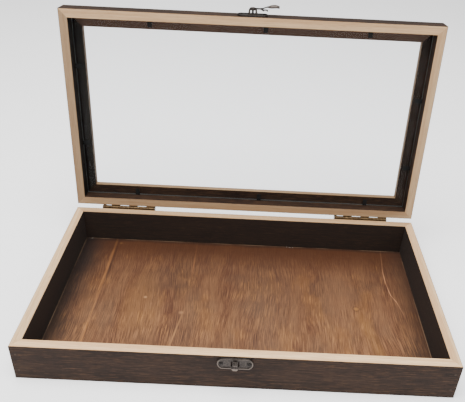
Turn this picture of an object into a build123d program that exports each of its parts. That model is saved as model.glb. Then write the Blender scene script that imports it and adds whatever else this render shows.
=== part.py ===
from build123d import *
from math import cos, pi, radians, sin
import os

# Hinged wooden display box with a glazed lid, standing open.
#
# Two mitred pine frames meet at a seam: a deep base frame with a plywood floor, and a shallow
# lid frame with an inward lip that carries a sheet of glass. Two pin hinges join them at the
# back and stop the lid a little past upright. A swing arm on the lid hooks onto a keeper.
#
# X runs along the length, +Y to the back and +Z up, from the middle of the underside. Lid pieces
# are made as if the box were shut, then turned open about the hinge axis. Sizes in millimetres.

# The case
case_length = 375.0
case_depth = 211.0
base_height = 38.0
lid_height = 19.5
wall = 8.8
seam_gap = 0.2
arris = 0.4
open_angle = 95.0

# The plywood floor, glued up into a rebate round the underside
floor_thick = 2.5
floor_lap = 4.0
floor_fit = 0.2

# The lid's lip, the glass behind it, and the tabs pushed into the wood to hold the glass
lip_width = 9.9
lip_thick = 6.2
glass_thick = 2.0
glass_fit = 0.4
tab_width = 4.4
tab_thick = 0.7
tab_reach = 7.5
tab_bite = 5.5
# Places of the tabs along each rail, as shares of half the case's length or depth
front_tabs = (-0.54, 0.07, 0.62)
back_tabs = (-0.65, 0.08, 0.72)
left_tabs = (-0.45, 0.34)
right_tabs = (-0.26, 0.46)

# Brads driven through each mitre from the front and back faces
brad_radius = 0.6
brad_length = 18.0
brad_head_radius = 1.0
brad_head_thick = 0.6
# Heights of the brads, as shares of each frame's height
base_brads_up = (0.26, 0.75)
lid_brads_up = (0.45,)

# Hinges: two leaves on the back faces, knuckles that alternate, and a wire pin
hinge_length = 58.5
hinge_inset = 28.0
knuckle_count = 6
pin_radius = 1.1
pin_fit = 0.05
knuckle_wall = 0.95
knuckle_gap = 0.15
axis_out = 2.6
leaf_thick = 0.9
leaf_reach = 11.5
leaf_corner = 2.0
leaf_clear = 0.3
leaf_screw_pitch = 20.0
leaf_screw_drop = 7.3
stop_width = 3.0
stop_reach = 4.3
stop_gap = 0.06

# Dome-headed cross-slot wood screws
screw_fit = 0.1
hinge_screw_radius = 0.8
hinge_screw_length = 6.5
hinge_screw_head = 1.7
clasp_screw_radius = 0.9
clasp_screw_length = 7.2
clasp_screw_head = 1.9
head_dome = 0.9
slot_width = 0.45
slot_depth = 0.4
screw_point = 1.8

# The stamped plate that the keeper and the latch share
plate_length = 30.0
plate_height = 11.5
plate_end = 3.5
plate_thick = 1.2
bead_width = 0.9
bead_raise = 0.6
plate_screw_pitch = 23.4
clasp_aside = 0.4
keeper_from_seam = 1.3
latch_from_seam = 1.3

# The keeper's hook: a strap that stands out of the plate, turns down and flares to a round tab
strap_width = 3.6
strap_thick = 0.9
strap_above_centre = 2.2
strap_stand = 6.7
strap_bend = 1.1
strap_drop = 2.4
strap_flare = 1.5
strap_flare_angle = 20.0
tab_radius = 3.35
strap_slot_width = 1.3
strap_slot_height = 6.0
strap_slot_clear = 0.5

# The tapered bridge on the latch's plate, slotted through, and the rivet that stands in it
bridge_foot = 4.8
bridge_top = 3.9
bridge_width = 5.2
bridge_stand = 6.3
bridge_thick = 0.8
bridge_slot_half = 2.4
bridge_slot_from = 2.4
rivet_radius = 1.0
rivet_head_radius = 2.3
rivet_head_thick = 0.5

# The swing arm: a round eye, a strip, a low notched tine and a raised, cupped finger leaf
arm_gap = 0.1
arm_thick = 1.0
arm_width = 3.8
eye_radius = 3.3
rivet_fit = 0.08
tine_clear = 0.3
tine_slope_start = 7.6
tine_slope_end = 10.4
tine_lead = 2.6
notch_clear = 0.6
notch_back = 1.6
notch_lip = 1.4
finger_thick = 0.8
finger_crown = 0.08
finger_root = 5.0
finger_neck = 3.0
finger_bend = 11.5
finger_bend_rise = 1.2
finger_peak = 18.9
finger_rise = 3.6
finger_length = 25.6
finger_fall = 1.0
finger_width = 6.2
finger_cup = 2.0
finger_neck_cup = 0.08
leaf_from = 13.6
leaf_widest = 19.5
leaf_tip_share = 0.5
finger_sections = 11

front = -case_depth / 2
back = case_depth / 2
side = case_length / 2
lid_rim = base_height + seam_gap
lid_top = lid_rim + lid_height
glass_top = lid_top - lip_thick
glass_face = glass_top - glass_thick
hinge_centre = side - hinge_inset - hinge_length / 2
hinge_y = back + axis_out
hinge_z = base_height + seam_gap / 2
knuckle_radius = pin_radius + pin_fit + knuckle_wall
knuckle_pitch = hinge_length / knuckle_count
keeper_z = base_height - keeper_from_seam - plate_height / 2
latch_z = lid_rim + latch_from_seam + plate_height / 2
strap_z = keeper_z + strap_above_centre
arm_stand = bridge_stand + arm_gap + arm_thick / 2
tine_stand = strap_stand - strap_thick / 2 - tine_clear - arm_thick / 2
notch_place = latch_z - strap_z

on_z = (Align.CENTER, Align.CENTER, Align.MIN)
# Profiles seen from the box's end, with +X of the drawing standing out from the front face
end_view = Plane(origin=(0, 0, 0), x_dir=(0, -1, 0), z_dir=(-1, 0, 0))
# Profiles seen from above, with +Y of the drawing standing out from the front face
top_view = Plane(origin=(0, 0, 0), x_dir=(1, 0, 0), z_dir=(0, 0, -1))


def open_lid(shape):
    """Turn a piece of the shut lid about the hinge axis to where it stands open."""
    return Pos(0, hinge_y, hinge_z) * Rot(X=-open_angle) * Pos(0, -hinge_y, -hinge_z) * shape


def save(name, *shapes):
    """Write one sub-part. Several like pieces go into one file as separate solids."""
    solids = [solid for shape in shapes for solid in shape.solids()]
    whole = solids[0] if len(solids) == 1 else Compound(children=solids)
    export_step(whole, f"parts/{name}.step")


# Timber frames


def mitred_rail(section, length, reach):
    """A rail along X with its outer face on y = 0, cut from its section and mitred at both ends."""
    half = length / 2
    profile = Plane.YZ.offset(-half) * make_face(Polyline(*section, close=True))
    corners = [(-half, 0), (half, 0), (half - reach, reach), (reach - half, reach)]
    plan = make_face(Polyline(*corners, close=True))
    return extrude(profile, length, dir=(1, 0, 0)) & extrude(plan, lid_top, dir=(0, 0, 1))


def four_rails(section, reach):
    """Front, back, left and right rails of one frame, each in its place."""
    long_rail = Pos(0, front, 0) * mitred_rail(section, case_length, reach)
    short_rail = Pos(0, -side, 0) * mitred_rail(section, case_depth, reach)
    return [long_rail, Rot(Z=180) * long_rail, Rot(Z=-90) * short_rail, Rot(Z=90) * short_rail]


def base_section():
    """A plain board, rebated inside its bottom edge for the floor."""
    rebate = wall - floor_lap - floor_fit
    return [
        (arris, 0),
        (rebate, 0),
        (rebate, floor_thick),
        (wall, floor_thick),
        (wall, base_height - arris),
        (wall - arris, base_height),
        (arris, base_height),
        (0, base_height - arris),
        (0, arris),
    ]


def lid_section():
    """A board with an inward lip along its top edge."""
    return [
        (arris, lid_rim),
        (wall - arris, lid_rim),
        (wall, lid_rim + arris),
        (wall, glass_top),
        (wall + lip_width, glass_top),
        (wall + lip_width, lid_top),
        (arris, lid_top),
        (0, lid_top - arris),
        (0, lid_rim + arris),
    ]


def corner_brads(heights):
    """A flush-headed brad through each mitre at each height."""
    brad = Cylinder(brad_radius, brad_length, align=on_z)
    brad += Cylinder(brad_head_radius, brad_head_thick, align=on_z)
    brad = Pos(0, front, 0) * Rot(X=-90) * brad
    reach = side - wall / 2
    places = [Pos(x, 0, z) for x in (-reach, reach) for z in heights]
    return [Rot(Z=turn) * place * brad for turn in (0, 180) for place in places]


def glazing_tabs():
    """Thin steel tabs in the inner faces, lying on the glass from below."""
    tab = Box(tab_width, tab_bite + tab_reach, tab_thick, align=(Align.CENTER, Align.MIN, Align.MAX))
    deep = wall - tab_bite
    long_side = Pos(0, front + deep, glass_face)
    short_side = Pos(0, -side + deep, glass_face)
    made = [Pos(share * side, 0, 0) * long_side * tab for share in front_tabs]
    made += [Rot(Z=180) * Pos(-share * side, 0, 0) * long_side * tab for share in back_tabs]
    made += [Rot(Z=-90) * Pos(-share * back, 0, 0) * short_side * tab for share in left_tabs]
    made += [Rot(Z=90) * Pos(share * back, 0, 0) * short_side * tab for share in right_tabs]
    return made


# Fasteners


def wood_screw(radius, length, head_radius):
    """A screw that points along +Y with the underside of its head on y = 0."""
    dome = (head_radius**2 + head_dome**2) / (2 * head_dome)
    half_head = Pos(0, head_dome - dome) * Circle(dome)
    half_head &= Rectangle(head_radius, head_dome, align=(Align.MIN, Align.MIN))
    shank_edge = [(0, 0), (radius, 0), (radius, screw_point - length), (0, -length)]
    shank = make_face(Polyline(*shank_edge, close=True))
    whole = revolve(Plane.XZ * half_head, Axis.Z) + revolve(Plane.XZ * shank, Axis.Z)
    cross = Box(2 * slot_width + head_radius, slot_width, 2 * slot_depth)
    cross += Rot(Z=90) * cross
    return Rot(X=90) * (whole - Pos(0, 0, head_dome) * cross)


def hinge_screws(side_of_seam):
    """The screws of both base leaves (-1) or both lid leaves (+1), driven from behind."""
    screw = Rot(Z=180) * wood_screw(hinge_screw_radius, hinge_screw_length, hinge_screw_head)
    z = hinge_z + side_of_seam * leaf_screw_drop
    return [
        Pos(centre + step * leaf_screw_pitch, back + leaf_thick, z) * screw
        for centre in (-hinge_centre, hinge_centre)
        for step in (-1, 0, 1)
    ]


def clasp_screws(height):
    """The two screws of one clasp plate."""
    screw = wood_screw(clasp_screw_radius, clasp_screw_length, clasp_screw_head)
    reach = plate_screw_pitch / 2
    return [Pos(x - clasp_aside, front - plate_thick, height) * screw for x in (-reach, reach)]


# Hinges


def stop_lug(side_of_seam):
    """A lug whose outer edge lies on the line halfway between the two leaves of the open hinge."""
    half = radians((180 - open_angle) / 2)
    root = leaf_thick / 2 - axis_out
    near = knuckle_radius + leaf_clear
    back_off = stop_gap / 2
    outline = [(root, near + 2 * leaf_clear)]
    for reach in (near, stop_reach):
        y = reach * sin(half) - back_off * cos(half)
        z = reach * cos(half) + back_off * sin(half)
        outline.append((y, z))
    outline.append((root, stop_reach + leaf_thick))
    face = make_face(Polyline(*[(y, side_of_seam * z) for y, z in outline], close=True))
    return extrude(Plane.YZ * face, stop_width)


def hinge_leaf(side_of_seam, bore):
    """The base leaf (-1) or the lid leaf (+1), made about the hinge axis."""
    half = hinge_length / 2
    middle = leaf_thick / 2 - axis_out
    leaf = Pos(0, middle, side_of_seam * leaf_reach / 2) * Box(hinge_length, leaf_thick, leaf_reach)
    far_edge = leaf.faces().sort_by(Axis.Z)[-1 if side_of_seam > 0 else 0]
    leaf = fillet(far_edge.edges().filter_by(Axis.Y), leaf_corner)
    own = 0 if side_of_seam < 0 else 1
    across = 2 * (knuckle_radius + leaf_clear)
    for index in range(knuckle_count):
        place = Pos((index + 0.5) * knuckle_pitch - half, 0, 0)
        if index % 2 != own:
            leaf -= place * Box(knuckle_pitch + knuckle_gap, 4 * knuckle_radius, across)
    for index in range(own, knuckle_count, 2):
        place = Pos((index + 0.5) * knuckle_pitch - half, 0, 0)
        leaf += place * Cylinder(knuckle_radius, knuckle_pitch - knuckle_gap, rotation=(0, 90, 0))
    leaf -= Cylinder(bore, 2 * hinge_length, rotation=(0, 90, 0))
    hole = Cylinder(hinge_screw_radius + screw_fit, 4 * leaf_thick, rotation=(90, 0, 0))
    for step in (-1, 0, 1):
        leaf -= Pos(step * leaf_screw_pitch, middle, side_of_seam * leaf_screw_drop) * hole
    lug = stop_lug(side_of_seam)
    return leaf + Pos(-half, 0, 0) * lug + Pos(half - stop_width, 0, 0) * lug


# Clasp


def clasp_plate():
    """The plate that both clasp halves share, on y = 0 and standing out along -Y."""
    straight = plate_length / 2 - plate_end
    end = plate_length / 2
    top = plate_height / 2
    edge = (
        Line((-straight, top), (straight, top))
        + ThreePointArc((straight, top), (end, 0), (straight, -top))
        + Line((straight, -top), (-straight, -top))
        + ThreePointArc((-straight, -top), (-end, 0), (-straight, top))
    )
    outline = make_face(edge)
    field = offset(outline, -bead_width)
    plate = extrude(Plane.XZ * outline, plate_thick + bead_raise)
    plate -= Pos(0, -plate_thick, 0) * extrude(Plane.XZ * field, 2 * bead_raise)
    hole = Cylinder(clasp_screw_radius + screw_fit, 4 * plate_thick, rotation=(90, 0, 0))
    for x in (-plate_screw_pitch / 2, plate_screw_pitch / 2):
        plate -= Pos(x, 0, 0) * hole
    return plate


def keeper_plate():
    """The base's plate with its hook."""
    flare = radians(strap_flare_angle)
    low = -strap_drop - strap_flare * cos(flare)
    line = FilletPolyline(
        (plate_thick / 2, 0),
        (strap_stand, 0),
        (strap_stand, -strap_drop),
        (strap_stand + strap_flare * sin(flare), low),
        radius=strap_bend,
    )
    strip = extrude(end_view * trace(line, strap_thick), tab_radius, both=True)
    upper = Pos(0, low / 2) * Rectangle(strap_width, strap_thick - low)
    below_bend = Rectangle(2 * tab_radius, -strap_bend - low, align=(Align.CENTER, Align.MIN))
    tip = (Pos(0, low + tab_radius) * Circle(tab_radius)) & (Pos(0, low) * below_bend)
    outline = extrude(Plane.XZ * (upper + tip), 2 * strap_stand)
    plate = clasp_plate() + Pos(0, 0, strap_above_centre) * (strip & outline)
    slot_size = (strap_slot_width, 4 * plate_thick, strap_slot_height)
    slot = Box(*slot_size, align=(Align.CENTER, Align.CENTER, Align.MAX))
    slot_x = strap_width / 2 + strap_slot_clear + strap_slot_width / 2
    for x in (-slot_x, slot_x):
        plate -= Pos(x, 0, strap_above_centre + strap_thick / 2) * slot
    return plate


def latch_plate():
    """The lid's plate, with a slotted bridge on it and the rivet's hole through both."""
    outline = [(-bridge_foot, 0), (bridge_foot, 0), (bridge_top, bridge_stand), (-bridge_top, bridge_stand)]
    slot_top = bridge_stand - bridge_thick
    slot_size = (2 * bridge_slot_half, slot_top - bridge_slot_from)
    slot = Pos(0, slot_top) * Rectangle(*slot_size, align=(Align.CENTER, Align.MAX))
    profile = make_face(Polyline(*outline, close=True)) - slot
    bridge = extrude(top_view * profile, bridge_width / 2, both=True)
    return clasp_plate() + bridge - Cylinder(rivet_radius, 4 * bridge_stand, rotation=(90, 0, 0))


def latch_rivet():
    """The rivet from the back of the plate through the bridge, with its head outside the arm."""
    reach = arm_stand + arm_thick / 2 + arm_gap
    head = Pos(0, 0, reach) * Cylinder(rivet_head_radius, rivet_head_thick, align=on_z)
    head = fillet(head.edges().sort_by(Axis.Z)[-1], rivet_head_thick / 2)
    return Rot(X=90) * (Cylinder(rivet_radius, reach, align=on_z) + head)


def leaf_opening(x):
    """How far the finger has opened at x, from 0 in its neck to 1 where the leaf is widest."""
    if x < leaf_from:
        return 0.0
    if x < leaf_widest:
        return sin(pi / 2 * (x - leaf_from) / (leaf_widest - leaf_from))
    to_tip = (x - leaf_widest) / (finger_length - leaf_widest)
    return 1 - (1 - leaf_tip_share) * to_tip**2


def finger_leaf():
    """The arm's finger tab: a neck that rises off the strip and opens into a cupped leaf."""
    peak = arm_stand + finger_rise
    line = Spline(
        (finger_root, arm_stand),
        (finger_bend, arm_stand + finger_bend_rise),
        (finger_peak, peak),
        (finger_length, peak - finger_fall),
    )
    half_thick = finger_thick / 2
    sections = []
    for step in range(finger_sections):
        point = line @ (step / (finger_sections - 1))
        opening = leaf_opening(point.X)
        half = (finger_neck + (finger_width - finger_neck) * opening) / 2
        low = half_thick - finger_neck_cup - (finger_cup - finger_neck_cup) * opening
        under = low - finger_thick
        edge = (
            ThreePointArc((-half, low), (0, half_thick + finger_crown), (half, low))
            + Line((half, low), (half, under))
            + ThreePointArc((half, under), (0, -half_thick), (-half, under))
            + Line((-half, under), (-half, low))
        )
        station = Plane(origin=(point.X, -point.Y, 0), x_dir=(0, 0, 1), z_dir=(1, 0, 0))
        sections.append(station * make_face(edge))
    return loft(sections)


def latch_arm():
    """The swing arm, pointing along +X from its pivot; it turns down onto the keeper."""
    tine_end = notch_place + strap_thick / 2 + notch_clear + notch_lip
    notch_start = notch_place - strap_thick / 2 - notch_clear
    notch_width = strap_thick + 2 * notch_clear
    notch_depth = strap_width / 2 + notch_clear
    strip_line = Polyline(
        (-eye_radius, arm_stand),
        (tine_slope_start, arm_stand),
        (tine_slope_end, tine_stand),
        (tine_end, tine_stand),
    )
    strip = extrude(top_view * trace(strip_line, arm_thick), 2 * eye_radius, both=True)
    trail = notch_depth + notch_back
    tine_size = (tine_end - tine_slope_start, trail + tine_lead)
    plan = Circle(eye_radius) + Pos(tine_slope_start / 2, 0) * Rectangle(tine_slope_start, arm_width)
    tine = Pos(tine_slope_start, -tine_lead) * Rectangle(*tine_size, align=(Align.MIN, Align.MIN))
    plan += fillet(tine.vertices().group_by(Axis.X)[-1], notch_lip)
    notch_size = (notch_width, tine_lead + notch_depth + notch_clear)
    plan -= Pos(notch_start, notch_depth) * Rectangle(*notch_size, align=(Align.MIN, Align.MAX))
    body = strip & extrude(Plane.XZ * plan, 2 * arm_stand)
    hole = Cylinder(rivet_radius + rivet_fit, 4 * arm_stand, rotation=(90, 0, 0))
    return body + finger_leaf() - hole


# Put the box together

base_rails = four_rails(base_section(), wall)
lid_rails = four_rails(lid_section(), wall + lip_width)
floor_size = (case_length - 2 * (wall - floor_lap), case_depth - 2 * (wall - floor_lap))
floor_panel = Box(*floor_size, floor_thick, align=on_z)
glass_size = (case_length - 2 * (wall + glass_fit), case_depth - 2 * (wall + glass_fit))
glass = Pos(0, 0, glass_face) * Box(*glass_size, glass_thick, align=on_z)

base_brads = corner_brads([share * base_height for share in base_brads_up])
lid_brads = corner_brads([lid_rim + share * lid_height for share in lid_brads_up])
base_hinge_screws = hinge_screws(-1)
lid_hinge_screws = hinge_screws(1)
keeper_screws = clasp_screws(keeper_z)
latch_screws = clasp_screws(latch_z)
tabs = glazing_tabs()

base_fixings = [*base_brads, *base_hinge_screws, *keeper_screws]
lid_fixings = [*lid_brads, *lid_hinge_screws, *latch_screws, *tabs]
base_leaf = hinge_leaf(-1, pin_radius)
lid_leaf = hinge_leaf(1, pin_radius + pin_fit)
pin = Cylinder(pin_radius, hinge_length, rotation=(0, 90, 0))

os.makedirs("parts", exist_ok=True)

for place, base_rail, lid_rail in zip(("front", "back", "left", "right"), base_rails, lid_rails):
    save(f"base_{place}_rail", base_rail - base_fixings)
    save(f"lid_{place}_rail", open_lid(lid_rail - lid_fixings))

save("base_floor_panel", floor_panel)
save("base_corner_brads", *base_brads)
save("glass_pane", open_lid(glass))
save("glazing_tabs", *map(open_lid, tabs))
save("lid_corner_brads", *map(open_lid, lid_brads))

for place, centre in (("left", -hinge_centre), ("right", hinge_centre)):
    axis = Pos(centre, hinge_y, hinge_z)
    save(f"hinge_{place}_base_leaf", axis * base_leaf)
    save(f"hinge_{place}_lid_leaf", open_lid(axis * lid_leaf))
    save(f"hinge_{place}_pin", axis * pin)

save("hinge_base_screws", *base_hinge_screws)
save("hinge_lid_screws", *map(open_lid, lid_hinge_screws))

keeper_place = Pos(-clasp_aside, front, keeper_z)
latch_place = Pos(-clasp_aside, front, latch_z)
save("keeper_plate", keeper_place * keeper_plate())
save("keeper_screws", *keeper_screws)
save("latch_plate", open_lid(latch_place * latch_plate()))
save("latch_screws", *map(open_lid, latch_screws))
save("latch_rivet", open_lid(latch_place * latch_rivet()))
save("latch_arm", open_lid(latch_place * latch_arm()))
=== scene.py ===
from math import radians

import bpy
from mathutils import Matrix, Vector

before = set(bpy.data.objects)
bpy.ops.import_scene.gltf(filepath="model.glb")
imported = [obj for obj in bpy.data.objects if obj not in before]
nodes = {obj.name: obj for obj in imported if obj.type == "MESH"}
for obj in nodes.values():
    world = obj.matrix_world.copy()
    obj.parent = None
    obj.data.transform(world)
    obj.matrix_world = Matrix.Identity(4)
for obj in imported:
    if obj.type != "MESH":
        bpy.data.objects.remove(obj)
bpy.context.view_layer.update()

# Base rails
# Four boards of pine, mitred at the corners. Their faces are stained a dark walnut and rubbed
# along the grain, and their top edges were planed afterwards, so the rim is bare pale wood.

base_height = 38.0
case_half_length = 187.5
case_half_depth = 105.5
wall = 8.8
inside_starts = wall * 0.5
inside_full = wall * 0.6
bare_skin = 0.14
bare_full = 0.05
rail_shine = 0.12
per_metre = 1000.0


class Paint:
    """One socket of a material's nodes, which can be used in sums."""

    def __init__(self, tree, socket):
        self.tree = tree
        self.socket = socket

    def make(self, kind, settings, inputs, output=0):
        """Any node: its settings are set first, then its inputs get values or links."""
        node = self.tree.nodes.new(kind)
        for name, value in settings.items():
            if name == "stops":
                ramp = node.color_ramp
                while len(ramp.elements) < len(value):
                    ramp.elements.new(1.0)
                for element, (place, colour) in zip(ramp.elements, value):
                    element.position = place
                    element.color = colour
            elif name == "ramp_interpolation":
                node.color_ramp.interpolation = value
            else:
                setattr(node, name, value)
        for name, value in inputs.items():
            if isinstance(value, Paint):
                self.tree.links.new(value.socket, node.inputs[name])
            else:
                node.inputs[name].default_value = value
        return Paint(self.tree, node.outputs[output])

    def sum_with(self, operation, first, second):
        """A sum of any kind on two values."""
        return self.make("ShaderNodeMath", {"operation": operation}, {0: first, 1: second})

    def __add__(self, other):
        return self.sum_with("ADD", self, other)

    __radd__ = __add__

    def __sub__(self, other):
        return self.sum_with("SUBTRACT", self, other)

    def __rsub__(self, other):
        return self.sum_with("SUBTRACT", other, self)

    def __mul__(self, other):
        return self.sum_with("MULTIPLY", self, other)

    __rmul__ = __mul__

    def __truediv__(self, other):
        return self.sum_with("DIVIDE", self, other)

    def __abs__(self):
        return self.sum_with("ABSOLUTE", self, 0.0)

    def __pow__(self, power):
        return self.sum_with("POWER", self, power)

    def axes(self):
        """The three parts of a vector."""
        parts = self.make("ShaderNodeSeparateXYZ", {}, {"Vector": self})
        return [Paint(self.tree, output) for output in parts.socket.node.outputs]

    def vector(self, x, y, z):
        """A vector of any three values of the same material."""
        return self.make("ShaderNodeCombineXYZ", {}, {"X": x, "Y": y, "Z": z})

    def between(self, low, high):
        """A soft step from 0 at low to 1 at high."""
        inputs = {"Value": self, "From Min": low, "From Max": high}
        return self.make("ShaderNodeMapRange", {"interpolation_type": "SMOOTHSTEP"}, inputs)

    def noise(self, scale, detail=3.0, roughness=0.5):
        """Cloudy noise read at this vector."""
        inputs = {"Vector": self, "Scale": scale, "Detail": detail, "Roughness": roughness}
        return self.make("ShaderNodeTexNoise", {}, inputs)

    def mix(self, first, second):
        """A colour, first where this is 0 and second where it is 1."""
        return self.make("ShaderNodeMix", {"data_type": "RGBA"}, {0: self, 6: first, 7: second}, 2)


def shade(red, green, blue):
    """A colour as read off a photograph, 0 to 255, made linear for the shader."""
    parts = [value / 255 for value in (red, green, blue)]
    linear = [part / 12.92 if part <= 0.04045 else ((part + 0.055) / 1.055) ** 2.4 for part in parts]
    return (*linear, 1.0)


def new_finish(name):
    """A material, its main shader, and the object's own coordinates in millimetres."""
    material = bpy.data.materials.new(name)
    material.use_nodes = True
    tree = material.node_tree
    shader = tree.nodes["Principled BSDF"]
    metres = Paint(tree, tree.nodes.new("ShaderNodeTexCoord").outputs["Object"])
    inputs = {0: metres, "Scale": per_metre}
    return material, shader, metres.make("ShaderNodeVectorMath", {"operation": "SCALE"}, inputs)


def lay(shader, colour, roughness, height=None, depth=0.0):
    """Join a colour, a roughness and a bump of some millimetres to the shader."""
    tree = colour.tree
    tree.links.new(colour.socket, shader.inputs["Base Color"])
    tree.links.new(roughness.socket, shader.inputs["Roughness"])
    if height is not None:
        inputs = {"Strength": 0.6, "Distance": depth / per_metre, "Height": height}
        bump = height.make("ShaderNodeBump", {}, inputs)
        tree.links.new(bump.socket, shader.inputs["Normal"])


def dress(node, material):
    """Give a part one material."""
    part = nodes[node].data
    part.materials.clear()
    part.materials.append(material)


early_wood = shade(234, 200, 156)
late_wood = shade(214, 174, 130)
wood_fibre = shade(180, 138, 96)
wood_fleck = shade(150, 108, 72)


def bare_pine(grain, seed):
    """Planed pine along the first axis of grain: soft growth bands and short darker fibres."""
    run, across, up = grain
    bands = run.vector(run * 0.004 + seed, across * 0.22, up * 0.22).noise(1.0, 2.0)
    fibre = run.vector(run * 0.05, across * 2.6 + seed, up * 2.6).noise(1.0, 3.0, 0.6)
    flecks = run.vector(run * 0.12 + seed, across * 5.0, up * 5.0).noise(1.0, 1.0)
    colour = bands.between(0.35, 0.66).mix(early_wood, late_wood)
    colour = (fibre.between(0.45, 0.7) * 0.55).mix(colour, wood_fibre)
    colour = (flecks.between(0.58, 0.72) * 0.5).mix(colour, wood_fleck)
    return colour, fibre


thick_stain = shade(36, 24, 18)
thin_stain = shade(50, 35, 25)
stain_streak = shade(24, 16, 13)
rubbed_mark = shade(84, 59, 40)
stained_pore = shade(18, 12, 10)


def walnut_stain(grain, seed, inside, painted_inside_tone):
    """Dark stain rubbed along the grain, with streaks and pale marks, and painted light and shade
    inside.
    """
    run, across, up = grain
    cloud = run.vector(run * 0.018 + seed, across * 0.05, up * 0.05).noise(1.0, 3.0)
    streaks = run.vector(run * 0.03, across * 1.3 + seed, up * 1.3).noise(1.0, 4.0, 0.62)
    marks = run.vector(run * 0.09 + seed, across * 1.9, up * 1.9).noise(1.0, 2.0, 0.6)
    pores = run.vector(run * 0.16, across * 4.5 + seed, up * 4.5).noise(1.0, 2.0)
    colour = cloud.between(0.3, 0.7).mix(thick_stain, thin_stain)
    colour = (streaks.between(0.42, 0.66) * 0.8).mix(colour, stain_streak)
    colour = (marks.between(0.54, 0.68) * 0.6).mix(colour, rubbed_mark)
    colour = (pores.between(0.56, 0.68) * 0.6).mix(colour, stained_pore)
    # Painted light and shade on the inner faces, in one given tone.
    colour = inside.mix(colour, painted_inside_tone)
    return colour, streaks, pores


def rail_axes(place, run_axis):
    """Places along, across and up a rail, and how deep in from the case's outer face."""
    x, y, z = place.axes()
    if run_axis == "x":
        return x, y, z, case_half_depth - abs(y)
    return y, x, z, case_half_length - abs(x)


def plane_drift(grain, seed):
    """How the plane wandered where bare wood meets stain, from minus a half to a half."""
    run, across, up = grain
    return run.vector(run * 0.2 + seed, across * 0.2, up * 0.2).noise(1.0, 2.0) - 0.5


darkened_rim_pine = shade(104, 78, 52)
# Painted shade for the inner faces of the long rails and of the end rails.
long_rail_inside_shade = shade(42, 36, 33)
end_rail_inside_shade = shade(56, 50, 47)


def base_rail_finish(name, run_axis, seed, rim_darkening):
    """Stained faces with painted shade inside, and a bare rim darkened by a given share; grain runs
    along run_axis.
    """
    material, shader, place = new_finish(name)
    run, across, z, depth = rail_axes(place, run_axis)
    grain = (run, across, z)
    pine, fibre = bare_pine(grain, seed)
    # Painted shade: the inner faces are darker, on the end rails towards a lighter grey.
    inside = depth.between(inside_starts, inside_full) * (0.62 if run_axis == "x" else 0.8)
    painted_inside_tone = long_rail_inside_shade if run_axis == "x" else end_rail_inside_shade
    stain, streaks, pores = walnut_stain(grain, seed, inside, painted_inside_tone)
    planed = z + plane_drift(grain, seed) * 0.1
    rim = planed.between(base_height - bare_skin, base_height - bare_full)
    # The bare rim is darker by a share given for each rail.
    pine = (fibre * 0.2 + rim_darkening).mix(pine, darkened_rim_pine)
    colour = rim.mix(stain, pine)
    roughness = 0.55 + streaks * 0.16 + rim * 0.15
    shader.inputs["Specular IOR Level"].default_value = rail_shine
    lay(shader, colour, roughness, fibre * 0.5 + pores * 0.8, 0.12)
    return material


for number, (side, run_axis, rim_darkening) in enumerate(
    [("front", "x", -0.08), ("back", "x", 0.42), ("left", "y", 0.16), ("right", "y", 0.12)]
):
    finish = base_rail_finish(f"walnut stain on {side} base rail", run_axis, 3.7 * number, rim_darkening)
    dress(f"base_{side}_rail", finish)

# Floor panel
# A sheet of thin plywood glued up into the rails. Its face veneer runs front to back and is
# wiped with a warm brown stain, with pale veins, a small knot, and painted shade towards the walls.

floor_top = 2.5
floor_shine = 0.2
inner_half_length = case_half_length - wall
inner_half_depth = case_half_depth - wall

dark_veneer = shade(80, 47, 32)
light_veneer = shade(124, 87, 58)
dark_stripe = shade(78, 46, 30)
greyed_stain = shade(88, 66, 50)
amber_stain = shade(132, 88, 48)

material, shader, place = new_finish("brown stained plywood")
x, y = place.axes()[:2]
drift = place.vector(x * 0.012, y * 0.006, 0.0).noise(1.0, 2.0) - 0.5
across = x + drift * 26.0
bands = place.vector(across * 0.05, y * 0.006, 4.0).noise(1.0, 3.0, 0.55)
stripes = place.vector(across * 0.17, y * 0.014, 1.0).noise(1.0, 3.0, 0.6)
fibre = place.vector(across * 0.8, y * 0.026, 2.0).noise(1.0, 3.0, 0.6)
pores = place.vector(across * 1.4, y * 0.055, 7.0).noise(1.0, 3.0, 0.6)
hairs = place.vector(across * 2.0, y * 0.05, 11.0).noise(1.0, 2.0)
cloud = place.vector(x * 0.03, y * 0.02, 9.0).noise(1.0, 3.0)
amber = place.vector(x * 0.035, y * 0.018, 21.0).noise(1.0, 3.0, 0.6)
coarse = place.vector(x * 0.04, y * 0.03, 14.0).noise(1.0, 2.0).between(0.38, 0.62) * 0.8 + 0.2
colour = bands.between(0.34, 0.66).mix(dark_veneer, light_veneer)
colour = (stripes.between(0.42, 0.7) * 0.55).mix(colour, dark_stripe)
colour = (cloud.between(0.45, 0.64) * 0.6).mix(colour, greyed_stain)
colour = (amber.between(0.5, 0.66) * 0.5).mix(colour, amber_stain)


def thin_line(off, half_width, softness):
    """A mask that is 1 where a distance off a line is small."""
    return 1.0 - abs(off).between(half_width, half_width + softness)


def patch(centre, spread):
    """A soft oval mask round a point of the floor, with a ragged outline."""
    from_x = (x - centre[0]) / spread[0]
    from_y = (y - centre[1]) / spread[1]
    return 1.0 - (from_x * from_x + from_y * from_y + stripes * 0.9).between(0.3, 1.9)


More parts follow.
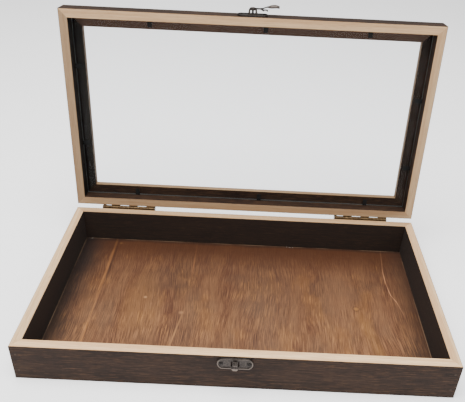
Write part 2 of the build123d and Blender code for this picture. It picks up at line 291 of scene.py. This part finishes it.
for centre, spread, share, tint in (
    ((-99.0, -10.0), (20.0, 60.0), 0.55, shade(136, 94, 54)),
    ((-150.0, 60.0), (16.0, 48.0), 0.75, shade(90, 50, 22)),
    ((-62.0, 55.0), (14.0, 56.0), 0.65, shade(58, 42, 30)),
    ((-47.0, -15.0), (9.0, 50.0), 0.5, shade(100, 78, 58)),
    ((60.0, 74.0), (80.0, 30.0), 0.5, shade(84, 44, 20)),
    ((-110.0, 74.0), (30.0, 26.0), 0.5, shade(84, 46, 22)),
    ((168.0, -62.0), (18.0, 28.0), 0.85, shade(46, 35, 29)),
    ((-72.0, 86.0), (28.0, 26.0), 0.7, shade(60, 36, 20)),
    ((-80.0, -74.0), (70.0, 40.0), 0.6, shade(84, 56, 40)),
    ((-48.0, -46.0), (26.0, 26.0), 0.35, shade(80, 54, 40)),
    ((-156.0, -50.0), (20.0, 26.0), 0.6, shade(66, 48, 38)),
    ((25.0, 62.0), (34.0, 32.0), 0.5, shade(72, 44, 26)),
    ((158.0, 78.0), (20.0, 26.0), 0.6, shade(56, 34, 20)),
    ((102.0, 20.0), (17.0, 52.0), 0.4, shade(152, 110, 78)),
    ((143.0, -8.0), (12.0, 36.0), 0.3, shade(152, 110, 78)),
    ((28.0, 0.0), (34.0, 80.0), 0.35, shade(96, 78, 64)),
):
    colour = (patch(centre, spread) * share).mix(colour, tint)
knot_tail = thin_line(x - 125.0 + (y + 30.0) * 0.2, 0.5, 9.0) * (1.0 - y.between(-34.0, 2.0))
colour = (knot_tail * 0.4).mix(colour, shade(152, 106, 54))

pale_fibre = shade(150, 106, 72)
dark_pore = shade(54, 32, 22)
pale_hair = shade(158, 112, 76)
bright_fleck = shade(184, 130, 80)
back_painted_shade = shade(58, 33, 19)

colour = (fibre.between(0.48, 0.62) * coarse * 0.55).mix(colour, pale_fibre)
colour = (pores.between(0.5, 0.62) * coarse * 0.65).mix(colour, dark_pore)
colour = (hairs.between(0.5, 0.6) * 0.45).mix(colour, pale_hair)
flecks = place.vector(across * 1.1, y * 0.055, 17.0).noise(1.0, 2.0).between(0.55, 0.68)
colour = (flecks * (amber.between(0.44, 0.6) * 0.45 + 0.08)).mix(colour, bright_fleck)
# Painted shade: the floor darkens from the front to the back, where the lid and the back wall keep the
# light off.
colour = (y.between(-110.0, 95.0) * 0.56 + 0.13).mix(colour, back_painted_shade)

# Lines, each at its x on the floor: a long pale streak of the figure with a painted shadow beside it
# on the left, two short veins left of the middle, and a vein on the right that bends to the back.
left_streak = -143.3
streak_shadow = -140.6
back_vein = -52.5
front_vein = -52.1
right_vein = 140.0
vein_bend = 40.0
vein_reach = 105.0

streak_share = stripes.between(0.35, 0.6) * 0.3 + abs(y - 5.0).between(20.0, 70.0) * 0.2 + 0.08
streak = thin_line(x - left_streak - drift * 1.5, 0.35, 1.7) * streak_share
colour = streak.mix(colour, shade(172, 116, 66))
# Painted shadow: a dark line beside the pale streak.
streak = thin_line(x - streak_shadow - drift * 1.5, 0.5, 1.3) * y.between(5.0, 45.0)
colour = (streak * 0.6).mix(colour, shade(46, 27, 18))
vein = thin_line(x - back_vein - drift * 3.0, 0.15, 1.0) * y.between(20.0, 60.0)
colour = (vein * 0.3).mix(colour, shade(150, 98, 60))
vein = thin_line(x - front_vein - y * 0.158, 0.2, 1.3) * (1.0 - y.between(-35.0, -5.0))
colour = (vein * 0.35).mix(colour, shade(172, 124, 80))
vein_stops = [(0.3, 0.66), (0.46, 0.6), (0.55, 0.5), (0.6, 0.38), (0.75, 0.3), (0.9, 0.4), (1.0, 0.42)]
vein_ramp = {"stops": [(stop, (value, value, value, 1.0)) for stop, value in vein_stops]}
vein_ramp["ramp_interpolation"] = "B_SPLINE"
bend = place.make("ShaderNodeValToRGB", vein_ramp, {"Fac": (y + vein_reach) / (vein_reach * 2.0)})
vein = thin_line(x - right_vein - bend * vein_bend + drift * 1.5, 0.1, 0.7)
vein = vein * (y.between(-40.0, 25.0) * 0.7 + 0.05)
vein = vein * (fibre.between(0.4, 0.6) * 0.5 + 0.35)
colour = vein.mix(colour, shade(178, 126, 90))


def gap_to(middle):
    """How far a place is from a point of the floor's face."""
    inputs = {0: place, 1: (*middle, floor_top)}
    return place.make("ShaderNodeVectorMath", {"operation": "DISTANCE"}, inputs, 1)


knot = (116.6, -2.1)
knot_radius = 3.4
for middle, radius, share, tint in (
    (knot, knot_radius, 0.35, shade(168, 116, 56)),
    ((-95.1, 1.1), 2.6, 0.4, shade(186, 140, 98)),
    ((-56.8, -18.8), 3.6, 0.35, shade(172, 126, 86)),
    ((-137.7, 88.9), 2.4, 0.6, shade(172, 124, 70)),
):
    colour = ((1.0 - gap_to(middle).between(0.4, radius)) * share).mix(colour, tint)
knot_ring = thin_line(gap_to(knot) - knot_radius, 0.1, 0.9)
colour = (knot_ring * 0.4).mix(colour, shade(66, 42, 24))

# Painted shade along the walls and at the back wall's foot, and a thin pale line of wood at their
# foot.
margin = place.vector(x * 0.03, y * 0.03, 3.0).noise(1.0, 2.0) * 18.0
shade_near_left = 1.0 - (x + case_half_length + margin - y * 0.04).between(17.0, 55.0)
shade_near_right = 1.0 - (case_half_length - x + margin).between(16.0, 46.0)
shade_near_back = 1.0 - (case_half_depth - y + margin).between(26.0, 68.0)
shade_at_back_foot = 1.0 - (case_half_depth - y + margin * 0.4).between(12.0, 19.0)
colour = (shade_near_back * 0.82).mix(colour, shade(58, 30, 13))
colour = (shade_near_left * 0.92).mix(colour, shade(23, 17, 15))
colour = (shade_near_right * 0.8).mix(colour, shade(48, 30, 21))
colour = (shade_at_back_foot * 0.6).mix(colour, shade(24, 15, 10))
foot_line = thin_line(inner_half_length - 0.5 - abs(x), 0.2, 0.5)
foot_line = foot_line + thin_line(inner_half_depth - 0.5 - y, 0.2, 0.6)
colour = (foot_line * (cloud.between(0.4, 0.6) * 0.18 + 0.02)).mix(colour, shade(160, 130, 100))

# Specks of dried glue in two places at the foot of the back wall.
dried_glue = shade(190, 188, 180)
glue_grain = place.vector(x * 0.7, y * 0.5, 5.0).noise(1.0, 2.0, 0.6).between(0.54, 0.6)
glue_spread = thin_line(x + 172.6, 3.0, 1.0) + thin_line(x - 53.8, 4.0, 1.0)
glue = glue_grain * glue_spread * y.between(inner_half_depth - 1.7, inner_half_depth - 1.1)
colour = (glue * 0.5).mix(colour, dried_glue)
shader.inputs["Specular IOR Level"].default_value = floor_shine
lay(shader, colour, 0.5 + pores * 0.25, fibre * 0.4 + pores * 0.6, 0.1)
dress("base_floor_panel", material)

# Corner brads
# Thin steel brads punched just flush through each mitre, their heads browned by the stain.

brad_stain = shade(44, 33, 26)
brad_rust = shade(66, 50, 38)

material, shader, place = new_finish("stained steel brad")
spots = place.noise(2.4, 3.0)
colour = spots.between(0.4, 0.65).mix(brad_stain, brad_rust)
shader.inputs["Metallic"].default_value = 0.1
shader.inputs["Specular IOR Level"].default_value = 0.15
lay(shader, colour, 0.4 + spots * 0.25, spots, 0.05)
dress("base_corner_brads", material)
dress("lid_corner_brads", material)

# Lid rails
# Four mitred boards with an inward lip along the top that the glass lies against. They are stained
# like the base, and the rim and the cut edge of the lip are bare.

lid_rim = 38.2
lid_height = 19.5
lid_top = lid_rim + lid_height
lip_edge = wall + 9.9
open_angle = radians(95)
hinge_place = Vector((0.0, 108.1, 38.1))
lid_rim_shade = shade(104, 82, 62)


def shut(place):
    """Where a point of the open lid would be with the lid shut, in millimetres."""
    turn = Matrix.Rotation(open_angle, 3, "X")
    shift = hinge_place - turn @ hinge_place
    inputs = {"Vector": place, "Location": shift, "Rotation": (open_angle, 0.0, 0.0)}
    return place.make("ShaderNodeMapping", {}, inputs)


def lid_rail_finish(name, run_axis, seed, rim_darkening, lip_light_share, lip_painted_light):
    """Stained faces, painted shade on the bare rim and window edge, painted light and shade on the
    lip.
    """
    material, shader, place = new_finish(name)
    run, across, z, depth = rail_axes(shut(place), run_axis)
    grain = (run, across, z)
    pine, fibre = bare_pine(grain, seed)
    rim_shade = fibre * 0.2 + rim_darkening
    under_top = 1.0 - z.between(lid_top - 0.6, lid_top - 0.2)
    lip = depth.between(inside_starts, inside_full) * under_top
    # The lip gets the side's painted light and shade tone.
    stain, streaks, pores = walnut_stain(grain, seed, lip * lip_light_share, lip_painted_light)
    wander = plane_drift(grain, seed)
    rim = 1.0 - (z + wander * 0.1).between(lid_rim + bare_full, lid_rim + bare_skin)
    edge = (depth + wander * 0.2).between(lip_edge - 0.22, lip_edge - 0.1)
    edge = edge * (1.0 if run_axis == "x" else 0.4)
    bare = edge.sum_with("MAXIMUM", edge, rim)
    # Painted shade on the bare rim and window edge, set for each side.
    pine = rim_shade.mix(pine, lid_rim_shade)
    colour = bare.mix(stain, pine)
    roughness = 0.55 + streaks * 0.16 + bare * 0.15
    shader.inputs["Specular IOR Level"].default_value = rail_shine
    lay(shader, colour, roughness, fibre * 0.5 + pores * 0.8, 0.05)
    return material


# Each side's rim darkening is painted shade on its bare rim; its lip tone is painted light on the
# front and painted shade on the left and right.
for number, (side, run_axis, rim_darkening, lip_light_share, lip_painted_light) in enumerate(
    [
        ("front", "x", 0.4, 0.55, shade(94, 72, 60)),
        ("back", "x", 0.6, 0.0, shade(42, 36, 33)),
        ("left", "y", 0.72, 0.9, shade(18, 15, 13)),
        ("right", "y", 0.5, 0.2, shade(42, 36, 33)),
    ]
):
    look = f"walnut stain on {side} lid rail"
    finish = lid_rail_finish(look, run_axis, 2.9 * number + 11.0, rim_darkening, lip_light_share, lip_painted_light)
    dress(f"lid_{side}_rail", finish)

# Glass pane
# A sheet of clear window glass, laid on the lip from inside. It lets the light through and mirrors
# a little of the room, more of it the more slantwise it is seen, and its cut edges are dull.

glass_fit = 0.4
half_length = inner_half_length - glass_fit
half_depth = inner_half_depth - glass_fit
clear_tint = (0.975, 0.98, 0.985, 1.0)
smeared_mirror = shade(238, 243, 242)
clean_mirror = shade(246, 248, 248)
dull_edge = shade(120, 140, 136)

material, shader, place = new_finish("clear window glass")
x, y = shut(place).axes()[:2]
cut_edge = abs(x).between(half_length - 0.5, half_length - 0.1)
cut_edge = cut_edge + abs(y).between(half_depth - 0.5, half_depth - 0.1)
smear = place.noise(0.009, 3.0)
tint = smear.between(0.3, 0.7).mix(smeared_mirror, clean_mirror)
lay(shader, (cut_edge * 0.6).mix(tint, dull_edge), 0.02 + smear * 0.05 + cut_edge * 0.4)
shader.inputs["Metallic"].default_value = 1.0
clear = place.make("ShaderNodeBsdfTransparent", {}, {"Color": clear_tint})
facing = place.make("ShaderNodeLayerWeight", {}, {"Blend": 0.5}, 1)
gloss = facing**4.0 * 0.5 + smear * 0.007 + 0.003 + cut_edge * 0.45
mirror = Paint(place.tree, shader.outputs["BSDF"])
pane = place.make("ShaderNodeMixShader", {}, {0: gloss, 1: clear, 2: mirror})
place.tree.links.new(pane.socket, place.tree.nodes["Material Output"].inputs["Surface"])
dress("glass_pane", material)

# Glazing tabs
# Short blackened steel points pushed into the rails so that they lie on the glass and hold it.

tab_black = shade(13, 13, 13)
tab_worn = shade(30, 29, 28)

material, shader, place = new_finish("blackened steel tab")
spots = place.noise(1.6, 3.0)
colour = spots.between(0.4, 0.7).mix(tab_black, tab_worn)
shader.inputs["Metallic"].default_value = 0.1
shader.inputs["Specular IOR Level"].default_value = 0.2
lay(shader, colour, 0.5 + spots * 0.2, spots, 0.05)
dress("glazing_tabs", material)

# Hinges
# Two small pressed brass hinges on the back faces, tarnished brown with a painted highlight where the
# knuckles stand out, each on a steel pin and fixed with small screws.

knuckle_radius = 2.1
brass = shade(86, 68, 45)
tarnished_brass = shade(56, 42, 27)
knuckle_highlight = shade(136, 114, 84)
brass_grit = shade(30, 21, 15)
brass_metal = 0.9


def brass_finish(name, on_lid):
    """Aged brass, with a painted highlight where the knuckles stand out."""
    material, shader, place = new_finish(name)
    y = (shut(place) if on_lid else place).axes()[1]
    tarnish = place.noise(0.5, 4.0, 0.6)
    grit = place.noise(3.0, 3.0)
    out = y.between(hinge_place.y - 1.0, hinge_place.y + knuckle_radius)
    colour = tarnish.between(0.35, 0.65).mix(brass, tarnished_brass)
    # Painted highlight along the knuckles.
    colour = (out * 0.35).mix(colour, knuckle_highlight)
    colour = (grit.between(0.58, 0.7) * 0.6).mix(colour, brass_grit)
    shader.inputs["Metallic"].default_value = brass_metal
    lay(shader, colour, 0.3 + tarnish * 0.25, grit, 0.05)
    return material


base_brass = brass_finish("aged brass of base leaves", False)
lid_brass = brass_finish("aged brass of lid leaves", True)
for side in ("left", "right"):
    dress(f"hinge_{side}_base_leaf", base_brass)
    dress(f"hinge_{side}_lid_leaf", lid_brass)
dress("hinge_base_screws", base_brass)
dress("hinge_lid_screws", lid_brass)

bright_wire = shade(150, 146, 140)
dull_wire = shade(98, 92, 86)

material, shader, place = new_finish("hinge pin wire")
scratch = place.noise(1.2, 3.0)
colour = scratch.between(0.4, 0.6).mix(bright_wire, dull_wire)
shader.inputs["Metallic"].default_value = 0.9
lay(shader, colour, 0.35 + scratch * 0.2)
dress("hinge_left_pin", material)
dress("hinge_right_pin", material)

# Clasp
# Stamped steel plates and arm with an antique bronze plating. It is dark, darker on some pieces, and
# worn to a paler metal on the beads, the hook's tip, the rivet's head and the finger tab.

plate_thick = 1.2
bead_top = plate_thick + 0.4
bead_foot = 33.0
bead_ends = 36.0
hook_starts = 2.2
hook_full = 2.8
hook_tip = 30.6
hook_stem = 31.6
plating_metal = 0.75
fresh_plating = shade(46, 40, 37)
mottled_plating = shade(78, 71, 66)
plating_grit = shade(22, 18, 16)
dark_plating = shade(18, 15, 14)
worn_metal = shade(126, 114, 105)


def plate_wear(out, z):
    """The bead round the plate is rubbed pale."""
    return out.between(plate_thick, bead_top) * 0.15


def keeper_wear(out, z):
    """The bead's ends and foot and the very tip of the hook are rubbed pale."""
    hook = out.between(hook_starts, hook_full)
    low_bead = 1.0 - z.between(bead_foot, bead_ends) * 0.75
    bead = out.between(plate_thick, bead_top) * low_bead * (1.0 - hook)
    return bead * 0.45 + hook * (1.0 - z.between(hook_tip, hook_stem)) * 0.8


def rivet_wear(out, z):
    """The rivet's head is rubbed a little."""
    return out.between(6.6, 7.8) * 0.4


def arm_wear(out, z):
    """The arm pales from its root to its finger tab."""
    return out.between(8.4, 11.2) * 0.4


def bronze_finish(name, on_lid, wear, darkening):
    """Antique plating, worn pale where wear says, and darker by the share given for the piece."""
    material, shader, place = new_finish(name)
    y, z = (shut(place) if on_lid else place).axes()[1:]
    mottle = place.noise(0.7, 4.0, 0.6)
    grit = place.noise(3.2, 3.0)
    colour = mottle.between(0.35, 0.7).mix(fresh_plating, mottled_plating)
    colour = (grit.between(0.54, 0.7) * 0.6).mix(colour, plating_grit)
    # Darker by a share given for each piece.
    colour = (grit * 0.2 + darkening - 0.1).mix(colour, dark_plating)
    if wear is not None:
        out = (mottle - 0.5) * 0.6 - y - case_half_depth
        colour = wear(out, z).mix(colour, worn_metal)
    shader.inputs["Metallic"].default_value = plating_metal
    lay(shader, colour, 0.4 + mottle * 0.25, grit + mottle, 0.06)
    return material


for node, on_lid, wear, darkening in (
    ("keeper_plate", False, keeper_wear, 0.12),
    ("keeper_screws", False, None, 0.75),
    ("latch_plate", True, plate_wear, 0.6),
    ("latch_screws", True, None, 0.75),
    ("latch_rivet", True, rivet_wear, 0.45),
    ("latch_arm", True, arm_wear, 0.45),
):
    dress(node, bronze_finish("bronze plating of " + node.replace("_", " "), on_lid, wear, darkening))

# Table and light
# A plain white table under soft overhead light, and the camera where the photo was taken from.

table_size = 12.0
table_glow = 0.45
table_white = shade(250, 250, 250)
table_shade = shade(247, 247, 248)
white_light = (1.0, 1.0, 1.0, 1.0)

bpy.ops.object.select_all(action="DESELECT")
bpy.ops.mesh.primitive_plane_add(size=table_size, location=(0.0, 0.0, 0.0))
table = bpy.context.object
table.name = "white table"
table_paint, shader, place = new_finish("white table")
speckle = place.noise(0.02, 2.0)
lay(shader, speckle.mix(table_white, table_shade), 0.8 + speckle * 0.1)
shader.inputs["Emission Color"].default_value = white_light
shader.inputs["Emission Strength"].default_value = table_glow
table.data.materials.append(table_paint)


def soft_light(name, place, target, size, power):
    """A square softbox that faces a point."""
    light = bpy.data.lights.new(name, "AREA")
    light.size = size
    light.energy = power
    lamp = bpy.data.objects.new(name, light)
    lamp.location = place
    lamp.rotation_euler = (Vector(target) - Vector(place)).to_track_quat("-Z", "Y").to_euler()
    bpy.context.scene.collection.objects.link(lamp)


soft_light("overhead softbox", (-0.15, -0.25, 1.5), (0.0, 0.0, 0.05), 1.3, 54.0)
soft_light("front fill", (0.5, -1.6, 0.7), (0.0, 0.0, 0.12), 1.2, 6.0)

world = bpy.data.worlds.new("studio")
bpy.context.scene.world = world
world.use_nodes = True
background = world.node_tree.nodes["Background"]
background.inputs["Color"].default_value = white_light
background.inputs["Strength"].default_value = 0.6

camera_data = bpy.data.cameras.new("camera")
camera_data.sensor_width = 36.0
camera_data.lens = 45.6
camera_data.shift_x = -0.0418
camera_data.shift_y = 0.012
camera_data.clip_start = 0.01
camera = bpy.data.objects.new("camera", camera_data)
camera_place = Vector((0.0061, -0.44458, 0.40477))
forward = Vector((0.00259, 0.83983, -0.54285)).normalized()
right = Vector((0.99888, 0.02344, 0.04103)).normalized()
up = right.cross(forward).normalized()
right = forward.cross(up)
turn = Matrix((right, up, -forward)).transposed()
camera.matrix_world = Matrix.Translation(camera_place) @ turn.to_4x4()
bpy.context.scene.collection.objects.link(camera)
bpy.context.scene.camera = camera
